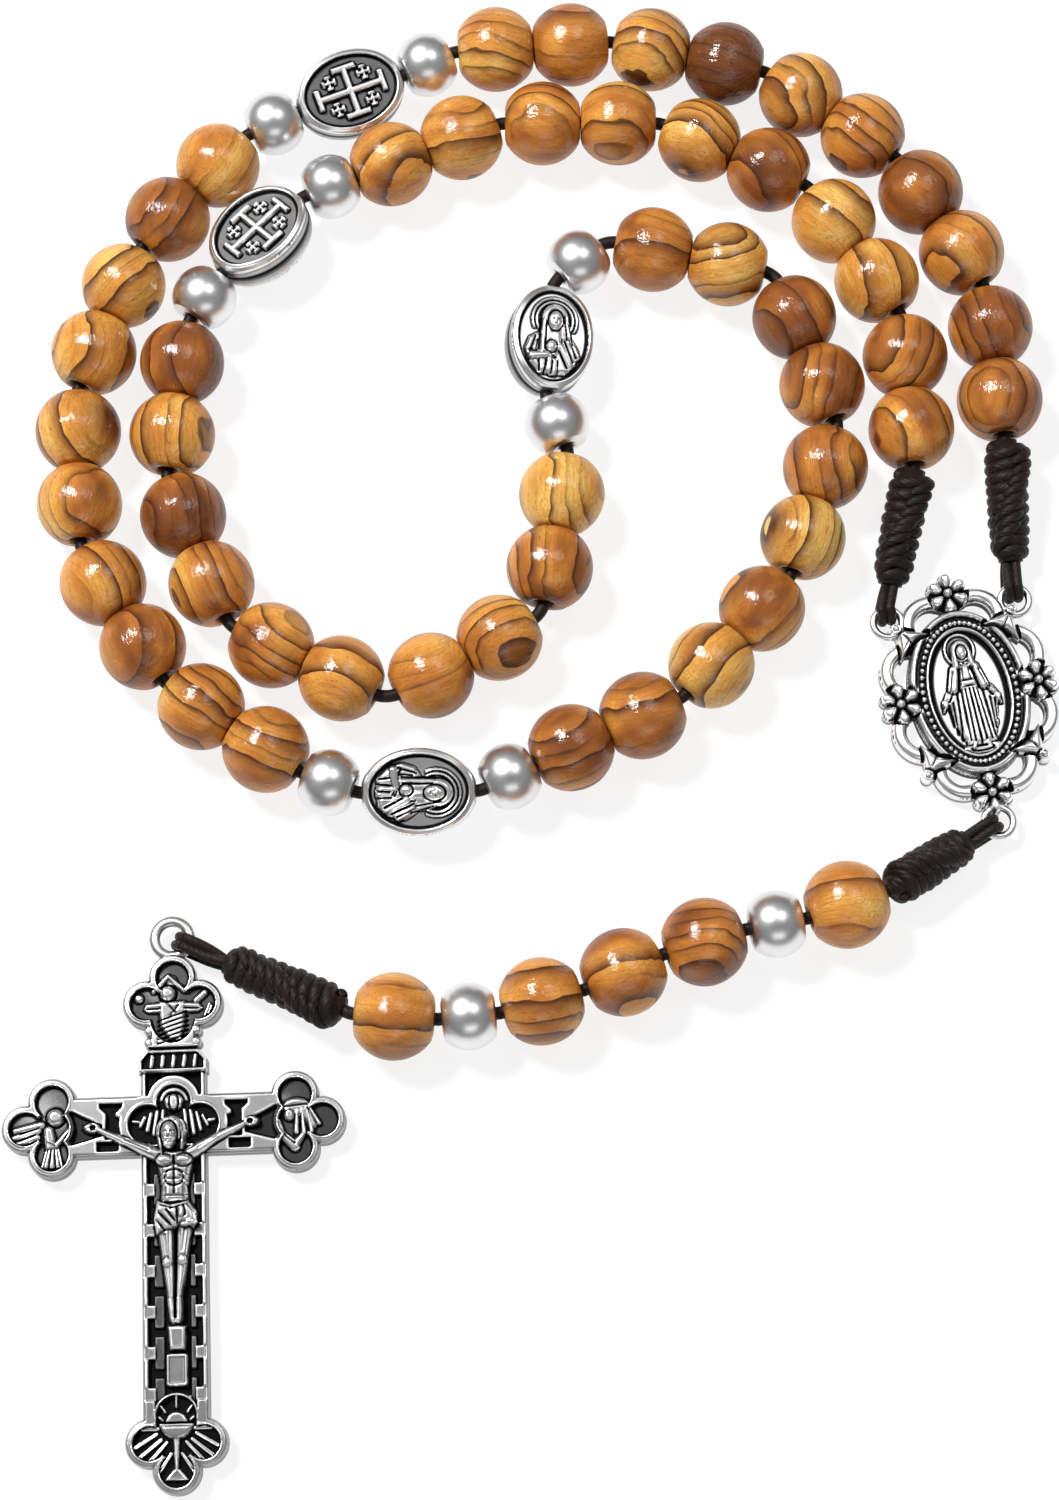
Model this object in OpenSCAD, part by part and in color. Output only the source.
// A five-decade cord rosary laid flat: wood beads, metal spacers and medals on one
// waxed cord, a cast centrepiece, and a pendant strand that ends in a crucifix.

/* [Cord] */
// Diameter of the waxed cord
cord_d = 1.2; // [0.9:0.1:1.3]
// Room between the cord and the ring wire that it is looped round
loop_clear = 0.15; // [0.1:0.05:0.25]
// Room between neighbouring pieces on the cord, on a straight stretch
play = 0.15; // [0.1:0.05:0.3]

/* [Wood beads] */
// Diameter of a wood bead
wood_d = 8.1; // [7.6:0.1:8.2]
// Length of a wood bead between its flat ends
wood_l = 7.2; // [6.9:0.1:7.4]
// Diameter of the hole through a wood bead
wood_bore = 1.8; // [1.5:0.1:2.2]

/* [Metal beads] */
// Diameter of a metal spacer bead
spacer_d = 6.1; // [5.5:0.1:6.4]
// Length of a spacer bead between its flat ends
spacer_l = 4.9; // [4.5:0.1:5.2]
// Diameter of the hole through a spacer or a medal
metal_bore = 1.6; // [1.5:0.1:1.8]

/* [Medals] */
// Length of a medal along the cord
medal_l = 10.4; // [9.8:0.1:10.6]
// Width of a medal across its face
medal_w = 8.0; // [7:0.1:8.1]
// Thickness of a medal
medal_t = 4.0; // [3.6:0.1:4.2]
// How far each medal leans about the cord, in degrees
medal_lean = 14; // [0:1:20]

/* [Knots] */
// Radius of a wrapped knot
knot_r = 2.05; // [1.8:0.05:2.2]
// Length of cord taken by one turn of a knot
turn_pitch = 1.15; // [1:0.05:1.3]
// Length of the knot next to the centrepiece on the pendant
upper_knot_l = 8.8; // [8:0.1:9.5]
// Length of the knot next to the crucifix
lower_knot_l = 11.8; // [10:0.1:12.2]

/* [Centrepiece] */
// Width of the oval medal in the centrepiece
oval_w = 11.2; // [10.6:0.1:11.6]
// Height of the oval medal in the centrepiece
oval_h = 16.0; // [15.4:0.1:16.4]
// Thickness of the oval medal at its rim
centre_t = 2.9; // [2.6:0.1:3.1]
// Direction of the centrepiece, in degrees from straight up
centre_turn = 10.5; // [9:0.5:12]

/* [Crucifix] */
// Thickness of the crucifix's plain edge
cross_t = 2.4; // [2.2:0.1:2.8]
// Width of the upright
upright_w = 5.9; // [5.5:0.1:6.3]
// Height of the crossbar
bar_w = 5.5; // [5:0.1:6]
// Direction of the crucifix, in degrees from straight up
cross_turn = 2; // [0:1:4]

/* [Hidden] */
// Circles look round in a preview; they are true curves in the solid
$fn = 48;
// Height of the bead line: the wood beads lie on the table
bead_z = wood_d / 2;
// Rings: distance from ring centre to wire centre, and the wire's radius
small_ring = 1.35;
large_ring = 1.65;
wire_r = 0.36;
// Distance from the wire centre to the centre line of the cord looped round it
loop_r = wire_r + cord_d / 2 + loop_clear;
// The rings' height, so that the cord below a ring just clears the table
ring_z = loop_r + cord_d / 2 + 0.05;
// Height of a knot's axis at its end near the ring
knot_low_z = ring_z + 0.6;
// Bare cord between the ring wire and the knot
strand_l = 2.2;
lower_strand_l = 3.8;
// Gap between the pieces of the pendant, wide enough for its cord to flex
pendant_gap = 0.65;
lower_gap = 1.4;
// Gap between two cord lengths of the pendant
cord_gap = 0.2;
// Play between the two beads of one pair
pair_play = 0.05;
knot_end_r = 1.4;
// Bend that the cord may make between a knot and the bead next to it
knot_bend = 20;
// The medals are cut from a barrel a little larger than their oval
barrel_l = medal_l + 0.7;
barrel_w = medal_w + 0.3;
medal_end_r = barrel_w / 2 * sqrt(1 - pow(medal_l / barrel_l, 2));

// Directions of the cord, in degrees from +X, one for each straight stretch in turn.
// A stretch carries two wood beads, one spacer or one medal.
loop_start = [44.2, 26.5];
decade_headings = [
    [95, 121, 144, 168, 184],
    [230, 249, 273, 302, 326],
    [385, 409, 432, 470, 528],
    [621, 570, 514, 473, 444],
    [382, 360, 335, 303, 273],
];
medal_headings = [[207, 201, 206], [340, 361, 387], [581, 627, 651], [419, 406, 382]];
pendant_kinds = ["wood", "spacer", "wood", "wood", "wood", "spacer", "wood"];
pendant_headings = [199, 190.5, 197, 204.5, 195.5, 186, 176];
upper_knot_heading = 213.5;
lower_knot_heading = 156;
centre_at = [40.4, 2.5];

// Places on the centrepiece, from its own centre
top_ring_at = [6.05, 7.95];
bottom_ring_at = [0, -12.5];
flower_at = [[0, 9.7], [0, -9.7], [-6.5, 0], [6.5, 0]];

function heading_vector(a) = [cos(a), sin(a)];
function raised(p, z) = [p.x, p.y, z];
function turned(p, a) = [p.x * cos(a) - p.y * sin(a), p.x * sin(a) + p.y * cos(a)];
function sum(v, i = 0) = i < len(v) ? v[i] + sum(v, i + 1) : 0;
function flat_r(d, l) = sqrt(d * d - l * l) / 2;

// ---- the loop: kinds, headings, sizes and places of its stretches ----
function decade_units(g) = [for (k = [0:4]) ["pair", decade_headings[g][k],
    str("decade", g + 1, "_beads_", 2 * k + 1, "_", 2 * k + 2)]];
function medal_units(g) = [
    ["spacer", medal_headings[g][0], str("spacer_before_medal_", g + 1)],
    ["medal", medal_headings[g][1], str("medal_", g + 1)],
    ["spacer", medal_headings[g][2], str("spacer_after_medal_", g + 1)],
];
units = [for (g = [0:4]) each concat(decade_units(g), g < 4 ? medal_units(g) : [])];
last = len(units) - 1;

function kind_length(kind) =
    kind == "pair" ? 2 * wood_l + pair_play :
    kind == "wood" ? wood_l :
    kind == "spacer" ? spacer_l : medal_l;
function kind_flat(kind) =
    kind == "medal" ? medal_end_r :
    kind == "spacer" ? flat_r(spacer_d, spacer_l) : flat_r(wood_d, wood_l);
// Cord left bare at one end of a stretch, so that the flat ends clear at the bend
function bare(kind, bend) = play / 2 + kind_flat(kind) * tan(abs(bend) / 2);
function bare_before(i) = bare(units[i][0], i == 0 ? knot_bend : units[i][1] - units[i - 1][1]);
function bare_after(i) = bare(units[i][0], i == last ? knot_bend : units[i + 1][1] - units[i][1]);
function reach(i) = bare_before(i) + kind_length(units[i][0]) + bare_after(i);

bends = [for (i = 0, p = loop_start; i <= last + 1;
    p = i <= last ? p + reach(i) * heading_vector(units[i][1]) : p, i = i + 1) p];

// ---- rings and knots of the loop ----
right_ring = centre_at + turned(top_ring_at, centre_turn);
left_ring = centre_at + turned([-top_ring_at.x, top_ring_at.y], centre_turn);
ring_out = heading_vector(90 + centre_turn);
right_wire = right_ring + small_ring * ring_out;
left_wire = left_ring + small_ring * ring_out;
bottom_ring = centre_at + turned(bottom_ring_at, centre_turn);

function unit_vector(v) = v / norm(v);
function knot_foot(wire, top) = wire + strand_l * unit_vector(top - wire);
// Ends of the two knots of the loop: near the ring, and near the first bead
right_knot = [raised(knot_foot(right_wire, loop_start), knot_low_z), raised(loop_start, bead_z)];
left_knot = [raised(knot_foot(left_wire, bends[last + 1]), knot_low_z),
    raised(bends[last + 1], bead_z)];

// ---- pendant: joints between its pieces, from the bottom ring down ----
pendant_last = len(pendant_kinds) - 1;
upper_out = small_ring + strand_l + upper_knot_l + pendant_gap / 2;
pendant_start = bottom_ring + upper_out * heading_vector(upper_knot_heading);
joints = [for (i = 0, p = pendant_start; i <= pendant_last + 1;
    p = i <= pendant_last ? p + (kind_length(pendant_kinds[i]) + pendant_gap)
        * heading_vector(pendant_headings[i]) : p, i = i + 1) p];
lower_out = lower_gap / 2 + lower_knot_l + lower_strand_l + large_ring;
cross_ring = joints[pendant_last + 1] + lower_out * heading_vector(lower_knot_heading);

// ---- names ----
function ordinal(kind, i) = sum([for (k = [0:i]) pendant_kinds[k] == kind ? 1 : 0]);
function pendant_name(i) = str("pendant_", pendant_kinds[i], "_bead_",
    ordinal(pendant_kinds[i], i));
function cord_name(i) = str("pendant_cord_", i + 1);

// ---- cord ----
// The cord turns round a ring wire in an upright half circle, from under it to over it
function wire_turn(wire, out) = [for (a = [180:-30:0])
    [raised(wire - loop_r * sin(a) * heading_vector(out), ring_z + loop_r * cos(a)), out]];
// The cord's short end lies below the cord where it enters a knot
function short_end(foot, out) = [foot - [0, 0, cord_d + 0.05], out];
function reversed(v) = [for (i = [len(v) - 1:-1:0]) [v[i][0], v[i][1] + 180]];

function knot_heading(k) = atan2(k[1].y - k[0].y, k[1].x - k[0].x);
function knot_route(k, wire) = concat(
    [short_end(k[0], knot_heading(k))],
    wire_turn(wire, 90 + centre_turn),
    [for (p = k) [p, knot_heading(k)]]);
// Each route point is [place, heading of the cord there]
loop_route = concat(
    knot_route(right_knot, right_wire),
    [for (i = [1:last]) [raised(bends[i], bead_z), (units[i - 1][1] + units[i][1]) / 2]],
    reversed(knot_route(left_knot, left_wire)));
cord_sides = 8;

function route_ring(route, i) =
    let (p = route[i][0], end = len(route) - 1,
        before = i == 0 ? [0, 0, 0] : unit_vector(p - route[i - 1][0]),
        after = i == end ? [0, 0, 0] : unit_vector(route[i + 1][0] - p),
        t = unit_vector(before + after),
        n = unit_vector(cross(t, [-sin(route[i][1]), cos(route[i][1]), 0])),
        m = cross(n, t))
    [for (k = [0:cord_sides - 1]) let (c = 360 * k / cord_sides)
        p + cord_d / 2 * (cos(c) * m + sin(c) * n)];

module cord_along(route) {
    end = len(route) - 1;
    color("#2b1f1c") polyhedron(
        points = [for (i = [0:end]) each route_ring(route, i)],
        faces = concat(
            [[for (k = [0:cord_sides - 1]) k]],
            [for (i = [0:end - 1], k = [0:cord_sides - 1])
                let (j = (k + 1) % cord_sides, a = i * cord_sides, b = a + cord_sides)
                each [[a + k, b + k, a + j], [a + j, b + k, b + j]]],
            [[for (k = [cord_sides - 1:-1:0]) end * cord_sides + k]]));
}

module loop_cord() {
    cord_along(loop_route);
}

// ---- wrapped knots ----
// Outline of the wraps: one bump for each turn, with smaller turns at both ends
function wrap_outline(l) = let (n = round(l / turn_pitch), step = l / n / 4)
    [for (i = [0:4 * n]) let (x = i * step, edge = min(x, l - x))
        [min(knot_r, knot_end_r + edge * 0.9) - (i % 4 == 0 ? 0.22 : i % 2 == 1 ? 0.06 : 0), x]];

// A knot along +Z from the origin, with the cord's way through it
module wraps(l) {
    color("#2b1f1c") difference() {
        rotate_extrude() polygon(concat([[0, 0]], wrap_outline(l), [[0, l]]));
        translate([0, 0, -1]) cylinder(h = l + 2, d = cord_d + 0.1);
    }
}

// Places a child that runs along +Z so that it runs from p towards q
module along(p, q) {
    v = q - p;
    translate(p) rotate([0, acos(v.z / norm(v)), atan2(v.y, v.x)]) children();
}

module loop_knot(k) {
    along(k[0], k[1]) wraps(norm(k[1] - k[0]) - pendant_gap / 2);
}

// A knot of the pendant in its own frame: the ring centre is the origin, the knot runs
// along +X to the joint at its far end, and its loop goes round the ring's wire
module ring_knot(ring_r, strand, l, gap) {
    foot = [ring_r + strand, 0, knot_low_z];
    joint = [ring_r + strand + l + gap / 2, 0, bead_z];
    axis = unit_vector(joint - foot);
    cord_along(concat([short_end(foot, 0)], wire_turn([ring_r, 0], 0),
        [[foot, 0], [joint - cord_gap / 2 * axis, 0]]));
    along(foot, joint) wraps(norm(joint - foot) - gap / 2);
}

// ---- beads and medals, each with its bore along +X and its first end at the origin ----
module bored(bore, l) {
    difference() {
        children();
        translate([-1, 0, 0]) rotate([0, 90, 0]) cylinder(h = l + 2, d = bore);
    }
}

module ball(d, l, bore) {
    bored(bore, l) intersection() {
        translate([l / 2, 0, 0]) rotate([0, 90, 0]) sphere(d = d);
        translate([0, -d, -d]) cube([l, 2 * d, 2 * d]);
    }
}

module wood_bead() {
    color("#c08443") ball(wood_d, wood_l, wood_bore);
}

module spacer_bead() {
    color("#c9cacc") ball(spacer_d, spacer_l, metal_bore);
}

function oval(w, h) = [for (a = [0:6:354]) [w / 2 * cos(a), h / 2 * sin(a)]];

// A raised cross with T ends, arms of half length r
module cross_potent(r, w) {
    for (a = [0:90:270]) rotate([0, 0, a]) {
        translate([-w / 2, 0]) square([w, r]);
        translate([-r / 2.4, r - w]) square([r / 1.2, w]);
    }
}

module medal_face(pattern) {
    depth = 0.35;
    translate([0, 0, medal_t / 2 - depth]) difference() {
        linear_extrude(height = depth + 1) polygon(oval(medal_l - 1.9, medal_w - 1.7));
        if (pattern == "cross") rotate([0, 0, 90]) {
            linear_extrude(height = depth) cross_potent(2.6, 0.7);
            for (x = [-1.5, 1.5], y = [-1.5, 1.5])
                translate([x, y, 0]) linear_extrude(height = depth) cross_potent(0.6, 0.3);
        } else {
            linear_extrude(height = depth) polygon(oval(4.6, 2.6));
            translate([2, 0, 0]) cylinder(h = depth, r = 1.2);
        }
    }
}

// A solid of revolution about +X, as long and as wide as the given oval
module barrel(l, w) {
    rotate([0, 90, 0]) rotate_extrude()
        polygon([for (a = [-90:10:90]) [w / 2 * cos(a), l / 2 * sin(a)]]);
}

module medal(pattern) {
    l = medal_l;
    color("#9c9ea1") bored(metal_bore, l) translate([l / 2, 0, 0]) difference() {
        intersection() {
            translate([0, 0, -medal_t / 2]) linear_extrude(height = medal_t)
                polygon(oval(l + 0.3, medal_w));
            barrel(barrel_l, barrel_w);
            translate([-l / 2, -l, -l]) cube([l, 2 * l, 2 * l]);
        }
        for (side = [0, 180]) rotate([side, 0, 0]) medal_face(pattern);
    }
}

// Puts a stretch's first end at its place on the loop, with +X along the cord
module on_loop(i) {
    translate(raised(bends[i] + bare_before(i) * heading_vector(units[i][1]), bead_z))
        rotate([0, 0, units[i][1]]) children();
}

module loop_unit(i) {
    kind = units[i][0];
    on_loop(i) {
        if (kind == "pair") {
            wood_bead();
            translate([wood_l + pair_play, 0, 0]) wood_bead();
        } else if (kind == "spacer") {
            spacer_bead();
        } else {
            medal_number = (i - 6) / 8;
            rotate([medal_number == 2 ? medal_lean : -medal_lean, 0, 0])
                medal(medal_number == 1 || medal_number == 2 ? "figure" : "cross");
        }
    }
}

// ---- pendant strand ----
module on_pendant(i) {
    translate(raised(joints[i], bead_z)) rotate([0, 0, pendant_headings[i]]) children();
}

module pendant_cord(i) {
    l = kind_length(pendant_kinds[i]) + pendant_gap - cord_gap;
    on_pendant(i) translate([cord_gap / 2, 0, 0]) rotate([0, 90, 0])
        color("#2b1f1c") cylinder(h = l, d = cord_d);
}

module pendant_bead(i) {
    on_pendant(i) translate([pendant_gap / 2, 0, 0])
        if (pendant_kinds[i] == "wood") wood_bead(); else spacer_bead();
}

module upper_knot() {
    translate(bottom_ring) rotate([0, 0, upper_knot_heading])
        ring_knot(small_ring, strand_l, upper_knot_l, pendant_gap);
}

module lower_knot() {
    translate(cross_ring) rotate([0, 0, lower_knot_heading + 180])
        ring_knot(large_ring, lower_strand_l, lower_knot_l, lower_gap);
}

// ---- centrepiece ----
module wire_ring(r) {
    translate([0, 0, ring_z]) rotate_extrude() translate([r, 0]) circle(r = wire_r);
}

// A band round a scallop of the frame
module scallop() {
    difference() {
        circle(r = 2.95);
        circle(r = 1.85);
    }
}

module flower() {
    for (a = [30:60:330]) rotate([0, 0, a]) translate([1.25, 0]) circle(r = 0.68);
    circle(r = 0.9);
}

// A pointed bud whose tip points along +X
module bud() {
    polygon([[-1.5, 0], [-0.4, -1.1], [0.8, -0.75], [1.5, 0], [0.8, 0.75], [-0.4, 1.1]]);
}

module centrepiece() {
    frame_t = 2.2;
    field_t = 2.2;
    field_gap = 1.9;
    color("#a9abad") translate(centre_at) rotate([0, 0, centre_turn]) {
        difference() {
            union() {
                linear_extrude(height = centre_t) polygon(oval(oval_w, oval_h));
                linear_extrude(height = frame_t) difference() {
                    for (a = [22.5:45:337.5])
                        translate([oval_w * 0.47 * cos(a), oval_h * 0.47 * sin(a)]) scallop();
                    polygon(oval(oval_w - 1, oval_h - 1));
                }
            }
            translate([0, 0, field_t])
                linear_extrude(height = centre_t) polygon(oval(oval_w - field_gap, oval_h - field_gap));
        }
        translate([0, 0, field_t - 0.1]) linear_extrude(height = 0.8) {
            polygon([[-0.9, 3.2], [0.9, 3.2], [2.3, -1], [1.7, -5.4], [-1.7, -5.4], [-2.3, -1]]);
            translate([0, 4.2]) circle(r = 1.15);
        }
        for (p = flower_at) translate(p) linear_extrude(height = centre_t) flower();
        for (x = [-1, 1], y = [-1, 1]) translate([x * 4.75, y * 6.1, 0])
            rotate([0, 0, atan2(y * 8, x * 5.6)]) linear_extrude(height = centre_t - 0.2) bud();
        for (x = [-1, 1]) translate([x * top_ring_at.x, top_ring_at.y, 0])
            wire_ring(small_ring);
        translate(bottom_ring_at) wire_ring(small_ring);
    }
}

// ---- crucifix, in its own frame: ring centre at the origin, foot along -Y ----
top_end = -5.8;
bar_y = -17.3;
bottom_end = -45.2;
side_end = 11.6;
lobe_r = 1.95;

module trefoil(stem) {
    circle(r = 2.7);
    for (a = [0, 90, 180]) rotate([0, 0, a + stem]) translate([2.25, 0]) circle(r = lobe_r);
}

module cross_outline() {
    translate([-upright_w / 2, bottom_end]) square([upright_w, top_end - bottom_end]);
    translate([-side_end, bar_y - bar_w / 2]) square([2 * side_end, bar_w]);
    translate([0, top_end]) trefoil(0);
    translate([0, bottom_end]) trefoil(180);
    translate([side_end, bar_y]) trefoil(-90);
    translate([-side_end, bar_y]) trefoil(90);
}

// A round limb from p to q that narrows from radius r to radius s
module limb(p, q, r, s) {
    along(p, q) cylinder(h = norm(q - p), r1 = r, r2 = s);
}

module corpus() {
    z = cross_t;
    limb([0, -27.4, z], [0, -20.1, z], 1.05, 1.5);
    for (x = [-1, 1]) {
        limb([x * 0.8, -20.9, z], [x * 8.2, -17, z], 0.8, 0.45);
        limb([x * 0.55, -26.8, z + 0.1], [x * 0.42, -34.8, z], 0.85, 0.45);
    }
    translate([-0.2, -18.4, z + 0.1]) sphere(r = 1.15);
}

module crucifix() {
    recess = 0.7;
    color("#94969a") translate(cross_ring) rotate([0, 0, cross_turn]) {
        difference() {
            linear_extrude(height = cross_t) cross_outline();
            translate([0, 0, cross_t - recess]) linear_extrude(height = cross_t) {
                translate([-upright_w / 2 + 0.9, bottom_end + 5.2])
                    square([upright_w - 1.8, bar_y - bottom_end - 8.4]);
                for (p = [[0, top_end - 0.2], [0, bottom_end], [-side_end, bar_y], [side_end, bar_y]])
                    translate(p) circle(r = 3);
            }
        }
        translate([-3.05, -12.9, 0]) cube([6.1, 2.3, cross_t + 0.5]);
        translate([-0.85, -37.4, 0]) cube([1.7, 2.2, cross_t + 0.3]);
        corpus();
        wire_ring(large_ring);
    }
}

loop_cord();
loop_knot(right_knot);
loop_knot(left_knot);
for (i = [0:last]) loop_unit(i);
centrepiece();
upper_knot();
for (i = [0:pendant_last]) pendant_cord(i);
for (i = [0:pendant_last]) pendant_bead(i);
lower_knot();
crucifix();
